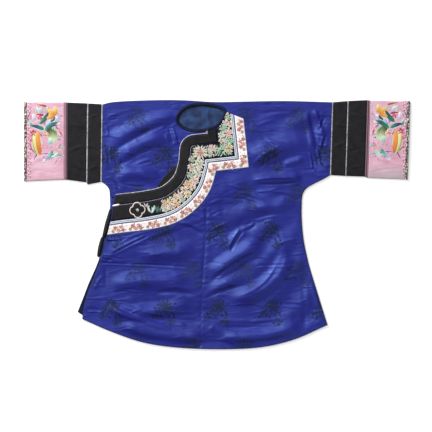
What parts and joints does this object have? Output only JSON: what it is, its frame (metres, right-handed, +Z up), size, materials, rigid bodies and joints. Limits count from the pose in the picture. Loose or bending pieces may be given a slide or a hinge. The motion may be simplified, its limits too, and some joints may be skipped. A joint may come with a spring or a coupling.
{
  "type": "chinese jacket",
  "caption": "Side-fastening blue silk jacket laid flat, with a round neck, a banded S-shaped overlap and sleeves ending in black bands and embroidered pink cuffs.",
  "frame": {"origin": "on the surface that the garment lies on, under the middle of its bounding box", "axes": "+X towards the wearer's left sleeve end, along the spread sleeves; +Y from the hem to the shoulder fold; +Z up, out of the garment's front"},
  "size_m": [1.158, 0.7471, 0.0109],
  "materials": {
    "blue_silk_damask": "satin",
    "teal_lining": "matte",
    "navy_binding": "satin",
    "black_satin": "satin",
    "white_piping": "matte",
    "embroidered_ribbon": "matte",
    "silver_blue_braid": "satin",
    "white_ribbon": "satin",
    "plum_braid": "matte",
    "pink_embroidered_satin": "satin",
    "checked_edge_braid": "matte"
  },
  "bodies": {
    "root": {"left_half": "blue_silk_damask", "right_half": "blue_silk_damask", "overlap_front": "blue_silk_damask", "neck_lining": "teal_lining", "neck_binding": "navy_binding", "vent_facing": "navy_binding", "overlap_black_band": "black_satin", "overlap_fine_piping": "white_piping", "embroidered_band": "embroidered_ribbon", "silver_braid": "silver_blue_braid", "white_ribbon": "white_ribbon", "overlap_edge_piping": "white_piping", "overlap_edge_facing": "black_satin", "side_binding_upper": "black_satin", "side_binding_lower": "black_satin", "left_sleeve_inner_piping": "white_piping", "left_sleeve_inner_black_band": "black_satin", "left_sleeve_outer_piping": "white_piping", "left_sleeve_outer_black_band": "black_satin", "left_sleeve_plum_braid": "plum_braid", "left_sleeve_embroidered_cuff": "pink_embroidered_satin", "left_sleeve_edge_braid": "checked_edge_braid", "right_sleeve_inner_piping": "white_piping", "right_sleeve_inner_black_band": "black_satin", "right_sleeve_outer_piping": "white_piping", "right_sleeve_outer_black_band": "black_satin", "right_sleeve_plum_braid": "plum_braid", "right_sleeve_embroidered_cuff": "pink_embroidered_satin", "right_sleeve_edge_braid": "checked_edge_braid"}
  },
  "joints": []
}
